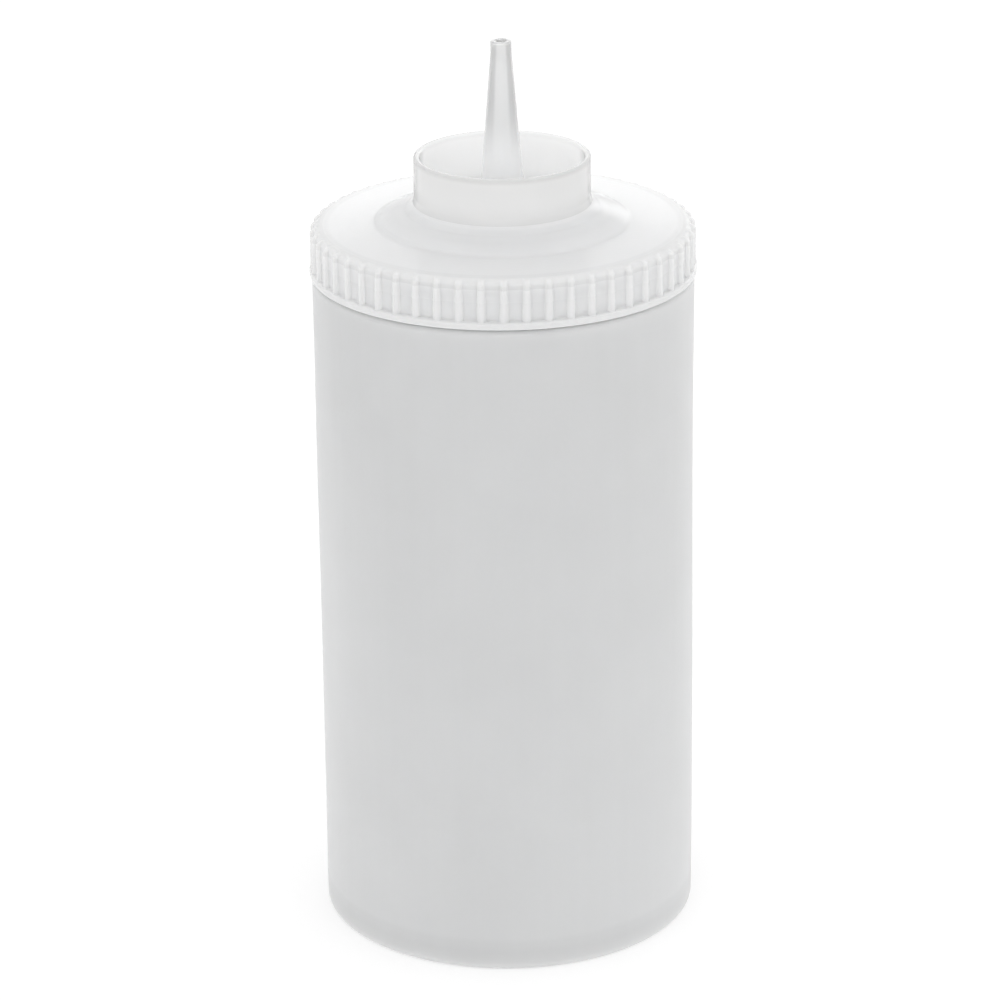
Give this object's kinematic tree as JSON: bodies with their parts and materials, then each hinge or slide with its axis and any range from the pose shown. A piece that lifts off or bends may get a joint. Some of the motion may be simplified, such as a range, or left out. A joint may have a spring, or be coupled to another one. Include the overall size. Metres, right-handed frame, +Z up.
{
  "type": "squeeze bottle",
  "caption": "Wide-mouth squeeze bottle for sauce: straight round body, ribbed screw cap, open collar and a slim cone nozzle.",
  "frame": {"origin": "middle of the standing ring, on the surface the bottle stands on", "axes": "+Z up along the bottle's axis to the nozzle tip; -Y is the side the picture shows, +X to its right"},
  "size_m": [0.0902, 0.0902, 0.2145],
  "materials": {
    "bottle_plastic": "satin, translucent natural polyethylene",
    "cap_plastic": "satin, translucent natural polyethylene, moulded",
    "liner_foam": "soft white foamed polyethylene"
  },
  "bodies": {
    "bottle": {"bottle": "bottle_plastic"},
    "liner": {"cap_liner": "liner_foam"},
    "cap": {"screw_cap": "cap_plastic"}
  },
  "joints": [
    {"name": "cap_lift", "type": "slide", "parent": "bottle", "child": "liner", "axis": [0, 0, 1], "range_m": [0, 0.0089]},
    {"name": "cap_turn", "type": "hinge", "parent": "liner", "child": "cap", "pos_m": [0, 0, 0.165], "axis": [0, 0, 1], "range_deg": [0, 630]}
  ],
  "couplings": [
    {"joint": "cap_lift", "follows": "cap_turn", "m_per_rad": 0.00080851}
  ]
}
